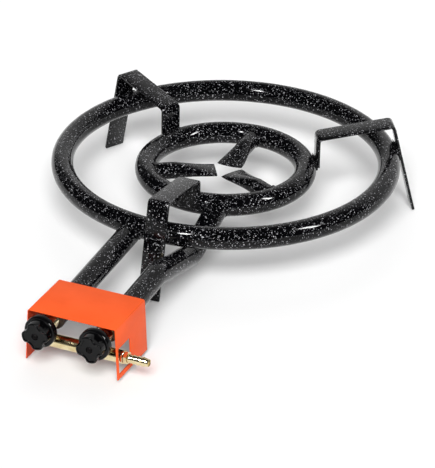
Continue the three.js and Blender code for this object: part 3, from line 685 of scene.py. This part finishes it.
brass = turned_brass()
steel = browned_steel()
for side, axis in valve_axes.items():
    plate = turned(disc_outline, axis, backward)
    finished(plate, f"mixer_disc_{side}", steel, f"mixer_plate_{side}")

    nut = hexagon(lock_nut_flats, axis, backward, lock_nut_front, lock_nut_rear, lock_nut_chamfer)
    drilled(nut, axis, lock_nut_front - overrun, lock_nut_rear + overrun, disc_hole)
    finished(nut, f"lock_nut_{side}", brass, f"locknut_{side}")

    jet = turned(jet_outline, axis, backward, sides=32)
    head = hexagon(jet_flats, axis, backward, jet_head_front, jet_head_rear, jet_chamfer)
    drilled(head, axis, jet_head_front - overrun, jet_head_rear + overrun, jet_hole, 32)
    combined(jet, head, "UNION")
    finished(jet, f"gas_jet_{side}", brass, f"injector_{side}")

# Valves.
# Two needle valves turned from brass bar. Each stands on a short leg on the manifold, and a
# gland nut in its front bore presses on the spindle's seal.
barrel_outside = in_mm(
    (6, -269.75), (7.7, -269.75), (8.5, -268.95), (8.5, -264.6), (8.2, -264.3), (8.2, -263.7),
    (8.5, -263.4), (8.5, -256.75), (7.7, -255.95), (4.5, -255.95), (4.5, -248.15), (4.1, -247.75)
)
barrel_inside = in_mm(
    (2.8, -247.75), (2.8, -256.45), (1.3, -256.45), (1.3, -257.85),
    (3.6, -260.15), (3.6, -266.55), (6, -266.55)
)
manifold_axis = Vector((0, -259.75 * mm, 25.6 * mm))
leg_radius, leg_height = 3.6 * mm, 13.5 * mm
leg_collar_radius, leg_collar = 4.6 * mm, (9.6 * mm, 12.6 * mm)
leg_saddle = 7.3 * mm
gland_outline = in_mm((3.3, -272), (5.7, -272), (5.7, -267.25), (5.4, -266.95), (3.3, -266.95))
gland_flats, gland_chamfer, gland_hole = 15 * mm, 0.7 * mm, 3.3 * mm
gland_front, gland_rear = -274.65 * mm, -270.05 * mm
upward = Vector((0, 0, 1))

for side, axis in valve_axes.items():
    body = turned(barrel_outside + barrel_inside, axis, backward)
    foot = manifold_axis + Vector((axis.x, 0, 0))
    leg = pin(foot, foot + upward * leg_height, leg_radius, 32)
    collar = pin(*(foot + upward * height for height in leg_collar), leg_collar_radius, 32)
    combined(body, combined(leg, collar, "UNION"), "UNION")
    aside = Vector((saw_width / 2, 0, 0))
    combined(body, pin(foot - aside, foot + aside, leg_saddle, 64))
    finished(body, f"valve_barrel_{side}", brass, f"valve_body_{side}")

    gland = turned(gland_outline, axis, backward)
    head = hexagon(gland_flats, axis, backward, gland_front, gland_rear, gland_chamfer)
    drilled(head, axis, gland_front - overrun, gland_rear + overrun, gland_hole)
    combined(gland, head, "UNION")
    finished(gland, f"gland_{side}", brass, f"gland_nut_{side}")

# Gas manifold.
# A 14 mm brass tube under both valves, plugged on the left. It passes through the window in
# the cover's right side and takes the barbed hose nozzle there.
rightward = (1, 0, 0)
manifold_radius, manifold_bore, manifold_edge = 7 * mm, 5 * mm, 0.4 * mm
low, high = -39.764206 * mm, 53.235794 * mm
solder_gap = 0.3 * mm
thread, thread_edge = 4.7 * mm, 0.5 * mm
thread_length = 7 * mm
hexagon_flats, hexagon_length, hexagon_chamfer = 12 * mm, 4 * mm, 0.6 * mm
nozzle_bore, nozzle_mouth = 1.6 * mm, 3.3 * mm
collar_hole = 3 * mm
neck_radius, barb_radius = 4.1 * mm, 5 * mm
barb_count, barb_pitch = 4, 5 * mm
nozzle_length = 22.5 * mm

tube = turned(
    [
        (manifold_bore, low),
        (manifold_radius - manifold_edge, low),
        (manifold_radius, low + manifold_edge),
        (manifold_radius, high - manifold_edge),
        (manifold_radius - manifold_edge, high),
        (manifold_bore, high),
    ],
    manifold_axis,
    rightward,
    sides=64,
)
finished(tube, "manifold_tube", brass, "gas_manifold")

head_end = low - solder_gap
plug = turned(
    [
        (0.3 * mm, head_end - 2 * mm),
        (thread, head_end - 2 * mm),
        (thread, low + thread_length - thread_edge),
        (thread - thread_edge, low + thread_length),
        (0.3 * mm, low + thread_length),
    ],
    manifold_axis,
    rightward,
)
head = hexagon(
    hexagon_flats, manifold_axis, rightward, head_end - hexagon_length, head_end, hexagon_chamfer
)
combined(head, plug, "UNION")
finished(head, "manifold_plug", brass, "manifold_end_plug")

collar_start = high + solder_gap
collar_end = collar_start + hexagon_length
outline = [
    (nozzle_bore, high - thread_length),
    (thread - thread_edge, high - thread_length),
    (thread, high - thread_length + thread_edge),
    (thread, collar_start),
    (neck_radius, collar_start),
]
for i in range(barb_count):
    start = collar_end + i * barb_pitch
    outline += [
        (neck_radius, start),
        (neck_radius, start + 0.6 * mm),
        (barb_radius - 0.15 * mm, start + 0.6 * mm),
        (barb_radius, start + 0.85 * mm),
        (neck_radius, start + barb_pitch),
    ]
end = collar_end + nozzle_length
outline += [
    (neck_radius, end - 0.5 * mm),
    (neck_radius - 0.3 * mm, end),
    (nozzle_mouth + 0.2 * mm, end),
    (nozzle_mouth, end - 0.4 * mm),
    (nozzle_mouth - 0.2 * mm, end - 9 * mm),
    (nozzle_bore, end - 10 * mm),
]
nozzle = turned(outline, manifold_axis, rightward, sides=64)
collar = hexagon(
    hexagon_flats, manifold_axis, rightward, collar_start, collar_end, hexagon_chamfer
)
reach = Vector((collar_start - overrun, 0, 0)), Vector((collar_end + overrun, 0, 0))
combined(collar, pin(manifold_axis + reach[0], manifold_axis + reach[1], collar_hole, 48))
combined(nozzle, collar, "UNION")
finished(nozzle, "barbed_nozzle", brass, "hose_nozzle")

# Spindles and seals.
# Each brass spindle has a needle that shuts the seat, a groove with a rubber ring and a flat
# for the knob. It screws out of the gland as it is turned.
stem_front = -288.25 * mm
stem_outline = in_mm(
    (0.1, -288.25), (2.6, -288.25), (3, -287.85), (3, -265.35), (1.9, -265.35),
    (1.9, -263.75), (3, -263.75), (1.9, -260.03), (0.6, -257.25), (0.1, -257.25)
)
stem_flat_middle, stem_flat_rise = -282.25 * mm, 2.2 * mm
stem_flat_length = 12.6 * mm
screw_hole, screw_hole_end = 1.5 * mm, -280.95 * mm
seal_place = -264.55 * mm
seal_ring_radius, seal_radius = 2.7 * mm, 0.5 * mm
rubber_black = (0.014, 0.014, 0.014, 1)
rubber_grey = (0.03, 0.03, 0.03, 1)

rubber, tree, shader, place = blank_finish("seal_rubber")
grain = node(tree, "TexNoise", Vector=place, Scale=900.0, Detail=2.0)
tree.links.new(mix(tree, grain.outputs[0], rubber_black, rubber_grey), shader.inputs["Base Color"])
shader.inputs["Roughness"].default_value = 0.75
bump = node(tree, "Bump", Strength=0.3, Distance=0.0001, Height=grain.outputs[0])
tree.links.new(bump.outputs[0], shader.inputs["Normal"])

for side, axis in valve_axes.items():
    stem = turned(stem_outline, axis, backward)
    flat = axis_place(axis, stem_flat_middle) + upward * (stem_flat_rise + 2 * mm)
    combined(stem, block(flat, (12 * mm, stem_flat_length, 4 * mm)))
    drilled(stem, axis, stem_front - overrun, screw_hole_end, screw_hole, 24)
    finished(stem, f"needle_stem_{side}", brass, f"spindle_{side}", f"knob_{side}")

    bpy.ops.mesh.primitive_torus_add(
        location=axis_place(axis, seal_place),
        rotation=(math.pi / 2, 0, 0),
        major_radius=seal_ring_radius,
        minor_radius=seal_radius,
        major_segments=48,
        minor_segments=16,
    )
    seal = placed(bpy.context.active_object)
    finished(seal, f"seal_ring_{side}", rubber, f"spindle_seal_{side}", f"seal_{side}")

# Control knobs.
# Moulded in glossy black plastic: four broad lobes for the fingers in front of a round skirt.
# A screw in the middle recess holds each knob to its spindle's flat.
knob_black = (0.001, 0.001, 0.0012, 1)
knob_grey = (0.0028, 0.0028, 0.0032, 1)
# Painted shade: the screw's colours are made dark to stand for the shade in the knob's recess.
screw_shade_dark = (0.006, 0.006, 0.007, 1)
screw_shade_brown = (0.022, 0.02, 0.02, 1)
knob_face = -294.25 * mm
knob_rear = -276.25 * mm
skirt_front = -283.75 * mm
skirt_radius = 16.8 * mm
lobe_count = 4
lobe_radius = 14.6 * mm
waist_radius = 11.2 * mm
lobe_fullness = 0.35
first_lobe = math.radians(12)
grip_points = 96
grip_edge = 1.3 * mm
rim_width = 0.2 * mm
recess_depth = 1.2 * mm
screw_well_radius, screw_well_depth = 3.6 * mm, 3 * mm
knob_bore, knob_bore_front = 3.3 * mm, -288.55 * mm
knob_flat_rise = 2.5 * mm
screw_outline = in_mm(
    (0.1, -293.35), (2.4, -293.35), (2.9, -292.85), (2.9, -291.55),
    (1.2, -291.55), (1.2, -281.75), (0.7, -281.25), (0.1, -281.25)
)
screw_slot_middle, screw_slot_depth, screw_slot_width = -293.15 * mm, 1 * mm, 0.8 * mm


def moulded_black():
    """Black moulded plastic with a gloss that varies a little."""
    finish, tree, shader, place = blank_finish("moulded_black")
    grain = node(tree, "TexNoise", Vector=place, Scale=320.0, Detail=4.0)
    tree.links.new(mix(tree, grain.outputs[0], knob_black, knob_grey), shader.inputs["Base Color"])
    gloss = node(tree, "MapRange", Value=grain.outputs[0], To_Min=0.06, To_Max=0.14)
    tree.links.new(gloss.outputs[0], shader.inputs["Roughness"])
    shader.inputs["Specular IOR Level"].default_value = 0.2
    bump = node(tree, "Bump", Strength=0.12, Distance=0.0002, Height=grain.outputs[0])
    tree.links.new(bump.outputs[0], shader.inputs["Normal"])
    return finish


def quarter_round(radius, turns):
    """The steps of inset and rise that follow a quarter circle, from its side to its top."""
    angles = [math.pi / 2 * i / turns for i in range(turns + 1)]
    return [
        (radius * (math.cos(start) - math.cos(end)), radius * (math.sin(end) - math.sin(start)))
        for start, end in zip(angles, angles[1:])
    ]


def lobed_grip(axis):
    """Four broad lobes with a rounded front edge, and the face recessed inside a rim."""
    rear = axis_place(axis, skirt_front + overrun)
    bpy.ops.mesh.primitive_circle_add(
        vertices=grip_points,
        radius=lobe_radius,
        fill_type="NGON",
        location=rear,
        rotation=(math.pi / 2, -first_lobe, 0),
    )
    grip = placed(bpy.context.active_object)
    steps = grip_points // lobe_count // 2
    for i in range(steps + 1):
        share = math.cos(math.pi * i / steps)
        waist, swell, crown = (math.tanh(2 * (part + lobe_fullness)) for part in (-1, share, 1))
        radius = waist_radius + (lobe_radius - waist_radius) * (swell - waist) / (crown - waist)
        bpy.ops.object.mode_set(mode="EDIT")
        bpy.ops.mesh.select_mode(type="VERT")
        bpy.ops.mesh.select_all(action="DESELECT")
        bpy.ops.object.mode_set(mode="OBJECT")
        for vertex in grip.data.vertices:
            turn = math.atan2(vertex.co.z - rear.z, vertex.co.x - rear.x) - first_lobe
            vertex.select = abs(math.cos(lobe_count * turn) - share) < 0.01
        bpy.ops.object.mode_set(mode="EDIT")
        factor = radius / lobe_radius
        bpy.ops.transform.resize(value=(factor, 1, factor), center_override=rear)
        bpy.ops.object.mode_set(mode="OBJECT")
    bpy.ops.object.mode_set(mode="EDIT")
    bpy.ops.mesh.select_mode(type="FACE")
    bpy.ops.mesh.select_all(action="SELECT")
    reach = knob_face + grip_edge - rear.y
    bpy.ops.mesh.extrude_region_move(TRANSFORM_OT_translate={"value": (0, reach, 0)})
    for inset, rise in quarter_round(grip_edge, 5):
        bpy.ops.mesh.inset(thickness=inset, depth=rise)
    bpy.ops.mesh.inset(thickness=rim_width, depth=0)
    for drop, inset in reversed(quarter_round(recess_depth / 2, 4)):
        bpy.ops.mesh.inset(thickness=drop, depth=-inset)
    for inset, rise in quarter_round(recess_depth / 2, 4):
        bpy.ops.mesh.inset(thickness=inset, depth=-rise)
    bpy.ops.mesh.select_mode(type="VERT")
    bpy.ops.mesh.select_all(action="SELECT")
    bpy.ops.mesh.normals_make_consistent(inside=False)
    bpy.ops.object.mode_set(mode="OBJECT")
    return grip


def recess_shaded_steel():
    """Steel of the small screw, coloured dark as painted shade of the knob's recess."""
    finish, tree, shader, place = blank_finish("recess_shaded_steel")
    grain = node(tree, "TexNoise", Vector=place, Scale=700.0, Detail=3.0)
    tree.links.new(mix(tree, grain.outputs[0], screw_shade_dark, screw_shade_brown), shader.inputs["Base Color"])
    rough = node(tree, "MapRange", Value=grain.outputs[0], To_Min=0.3, To_Max=0.5)
    tree.links.new(rough.outputs[0], shader.inputs["Roughness"])
    shader.inputs["Metallic"].default_value = 1.0
    return finish


plastic = moulded_black()
dark_steel = recess_shaded_steel()
for side, axis in valve_axes.items():
    grip = lobed_grip(axis)
    skirt = turned(
        [
            (9 * mm, skirt_front),
            (skirt_radius - 1.4 * mm, skirt_front),
            (skirt_radius - 0.5 * mm, skirt_front + 0.4 * mm),
            (skirt_radius, skirt_front + 1.3 * mm),
            (skirt_radius, knob_rear - 0.5 * mm),
            (skirt_radius - 0.5 * mm, knob_rear),
            (9 * mm, knob_rear),
        ],
        axis,
        backward,
        sides=grip_points,
    )
    hub = pin(axis_place(axis, skirt_front + mm), axis_place(axis, knob_rear), 10 * mm, 64)
    knob = combined(combined(grip, hub, "UNION"), skirt, "UNION")
    drilled(knob, axis, knob_face - overrun, knob_face + screw_well_depth, screw_well_radius)
    drilled(knob, axis, knob_face, stem_front, screw_hole, 24)
    bore = pin(axis_place(axis, knob_bore_front), axis_place(axis, knob_rear + overrun), knob_bore, 48)
    flat = axis_place(axis, -281 * mm) + upward * (knob_flat_rise + 2 * mm)
    combined(bore, block(flat, (12 * mm, 20 * mm, 4 * mm)))
    combined(knob, bore)
    finished(knob, f"lobed_knob_{side}", plastic, f"control_knob_{side}", f"knob_{side}")

    screw = turned(screw_outline, axis, backward, sides=40)
    slot = axis_place(axis, screw_slot_middle)
    combined(screw, block(slot, (8 * mm, screw_slot_depth, screw_slot_width)))
    finished(screw, f"slotted_screw_{side}", dark_steel, f"knob_screw_{side}", f"knob_{side}")

# Valve cover.
# One piece of 1.2 mm sheet, folded down on both sides and painted orange. The right side has
# a window for the manifold. It lies on the feed tubes, and its inside is coloured darker as painted shade.
cover_front, cover_rear = -272.15 * mm, -204.15 * mm
cover_middle = ring_axis.x
cover_side = 48.1 * mm
cover_splay = 2.8 * mm
cover_low, cover_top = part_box("valve_cover")[0].z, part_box("valve_cover")[1].z
cover_sheet = 1.2 * mm
cover_bend_radius, cover_bend_steps = 1.8 * mm, 6
cover_edge = 0.25 * mm
window_place = (50 * mm, -254.8 * mm, 19.25 * mm)
window_width, window_height = 26.7 * mm, 28.5 * mm
orange = (0.93, 0.116, 0.022, 1)
orange_deep = (0.87, 0.104, 0.019, 1)
# Painted shade: a darker orange for the inside of the fold, where little light reaches.
orange_inside_shade = (0.5, 0.045, 0.01, 1)


def orange_paint():
    """Semi-matt orange paint outside and in, darker where a point lies inside the fold: painted shade."""
    finish, tree, shader, place = blank_finish("orange_paint")
    cloud = node(tree, "TexNoise", Vector=place, Scale=35.0, Detail=3.0)
    spread = node(tree, "MapRange", Value=cloud.outputs[0], From_Min=0.35, From_Max=0.7)
    colour = mix(tree, spread.outputs[0], orange, orange_deep)
    part = node(tree, "SeparateXYZ", Vector=place)
    from_middle = node(tree, "Math", {"operation": "SUBTRACT"}, _0=part.outputs["X"], _1=cover_middle)
    aside = node(tree, "Math", {"operation": "ABSOLUTE"}, _0=from_middle.outputs[0])
    height = {"Value": part.outputs["Z"], "From_Min": cover_low, "From_Max": cover_top}
    wall = node(tree, "MapRange", **height, To_Min=cover_side + cover_splay, To_Max=cover_side)
    # Painted shade: points inside the fold and below its top get the darker inside colour.
    within = node(tree, "Math", {"operation": "LESS_THAN"}, _0=aside.outputs[0], _1=wall.outputs[0])
    below = node(tree, "Math", {"operation": "LESS_THAN"}, _0=part.outputs["Z"], _1=sheet_top)
    inner = node(tree, "Math", {"operation": "MULTIPLY"}, _0=within.outputs[0], _1=below.outputs[0])
    tree.links.new(mix(tree, inner.outputs[0], colour, orange_inside_shade), shader.inputs["Base Color"])
    shader.inputs["Specular IOR Level"].default_value = 0.12
    rough = node(tree, "MapRange", Value=cloud.outputs[0], To_Min=0.42, To_Max=0.55)
    tree.links.new(rough.outputs[0], shader.inputs["Roughness"])
    peel = node(tree, "TexNoise", Vector=place, Scale=700.0, Detail=1.0)
    bump = node(tree, "Bump", Strength=0.15, Distance=0.0001, Height=peel.outputs[0])
    tree.links.new(bump.outputs[0], shader.inputs["Normal"])
    return finish


middle_y = (cover_front + cover_rear) / 2
sheet_top = cover_top - cover_sheet / 2
corners = [
    Vector((cover_middle + cover_side + cover_splay, middle_y, cover_low)),
    Vector((cover_middle + cover_side, middle_y, sheet_top)),
    Vector((cover_middle - cover_side, middle_y, sheet_top)),
    Vector((cover_middle - cover_side - cover_splay, middle_y, cover_low)),
]
depth = cover_rear - cover_front
cover = bent_strip(
    corners, depth, cover_sheet, backward, cover_bend_radius, cover_edge, cover_bend_steps
)
window_middle = Vector((cover_middle, 0, cover_low)) + Vector(window_place)
combined(cover, block(window_middle, (100 * mm, window_width, window_height)))
finished(cover, "sheet_cover", orange_paint(), "valve_cover")

# Stage, light and camera.
# A pale floor with a soft white surround, a broad key light from the front right, a weak one
# from behind, and two narrow softboxes that only show as highlights on the gloss.
white = (1, 1, 1, 1)
floor_grey = (0.9, 0.9, 0.9, 1)
floor_glow = 0.04
bpy.ops.mesh.primitive_plane_add(size=40, location=(0, 0, -0.5 * mm))
floor = bpy.context.active_object
floor.name = "floor"
finish = bpy.data.materials.new("pale_floor")
finish.use_nodes = True
tree = finish.node_tree
tree.nodes.clear()
seen = node(tree, "LightPath")
direct = seen.outputs["Is Camera Ray"]
for ray in ("Is Glossy Ray", "Is Transmission Ray"):
    direct = node(tree, "Math", {"operation": "MAXIMUM"}, _0=direct, _1=seen.outputs[ray]).outputs[0]
glow = node(tree, "Math", {"operation": "MULTIPLY"}, _0=direct, _1=floor_glow)
light = node(tree, "Emission", Color=white, Strength=glow.outputs[0])
matt = node(tree, "BsdfDiffuse", Color=floor_grey)
both = node(tree, "AddShader", _0=light.outputs[0], _1=matt.outputs[0])
node(tree, "OutputMaterial", Surface=both.outputs[0])
floor.data.materials.append(finish)

world = bpy.data.worlds.new("studio")
bpy.context.scene.world = world
world.use_nodes = True
tree = world.node_tree
tree.nodes.clear()
toward = node(tree, "SeparateXYZ", Vector=node(tree, "TexCoord").outputs["Generated"])
smooth = {"interpolation_type": "SMOOTHSTEP"}
wall = node(tree, "MapRange", smooth, Value=toward.outputs["Y"], From_Min=0.45, From_Max=0.8).outputs[0]
fill = node(tree, "MapRange", Value=wall, To_Min=0.27, To_Max=0.38).outputs[0]
mirrored = node(tree, "MapRange", Value=wall, To_Min=0.05, To_Max=0.9).outputs[0]
seen = node(tree, "LightPath")
diffuse, direct = seen.outputs["Is Diffuse Ray"], seen.outputs["Is Camera Ray"]
glow = node(tree, "Mix", {"data_type": "FLOAT"}, _0=diffuse, _2=mirrored, _3=fill)
glow = node(tree, "Math", {"operation": "MAXIMUM"}, _0=glow.outputs[0], _1=direct)
sky = node(tree, "Background", Color=white, Strength=glow.outputs[0])
node(tree, "OutputWorld", Surface=sky.outputs[0])


def softbox(name, azimuth, elevation, distance, width, height, power):
    """A flat lamp that points at the burner; azimuth 0 is behind it and 90 on its right."""
    flat = math.cos(math.radians(elevation)) * distance
    place = Vector((
        math.sin(math.radians(azimuth)) * flat,
        math.cos(math.radians(azimuth)) * flat,
        math.sin(math.radians(elevation)) * distance,
    ))
    bpy.ops.object.light_add(type="AREA", location=place, rotation=place.to_track_quat("Z", "Y").to_euler())
    lamp = bpy.context.active_object
    lamp.name = name
    lamp.data.shape = "RECTANGLE"
    lamp.data.size = width
    lamp.data.size_y = height
    lamp.data.energy = power
    return lamp


key_turn = (math.radians(90 - 39.5), 0, math.radians(22))
bpy.ops.object.light_add(type="SUN", location=(0, -2, 2), rotation=key_turn)
key_light = bpy.context.active_object
key_light.name = "key_light"
key_light.data.energy = 3.9
key_light.data.angle = math.radians(28)
key_light.visible_glossy = False
softbox("rear_light", -25, 62, 2.2, 1.2, 1.2, 3).visible_glossy = False
softbox("right_light", 91, 42, 1.6, 0.15, 0.5, 17).visible_diffuse = False
softbox("front_light", -175.5, 46, 2.2, 0.2, 0.5, 22).visible_diffuse = False

camera_place = Vector((1.18131, -2.60025, 1.5649))
camera_target = Vector((0.01152, 0.05923, 0))
camera_roll = math.radians(0.86)
camera = bpy.data.objects.new("camera", bpy.data.cameras.new("camera"))
bpy.context.collection.objects.link(camera)
turn = (camera_target - camera_place).to_track_quat("-Z", "Y").to_matrix().to_4x4()
camera.matrix_world = Matrix.Translation(camera_place) @ turn @ Matrix.Rotation(camera_roll, 4, "Z")
camera.data.sensor_fit = "VERTICAL"
camera.data.sensor_height = 36
camera.data.lens = 233.5
bpy.context.scene.camera = camera
bpy.context.scene.view_settings.view_transform = "Standard"
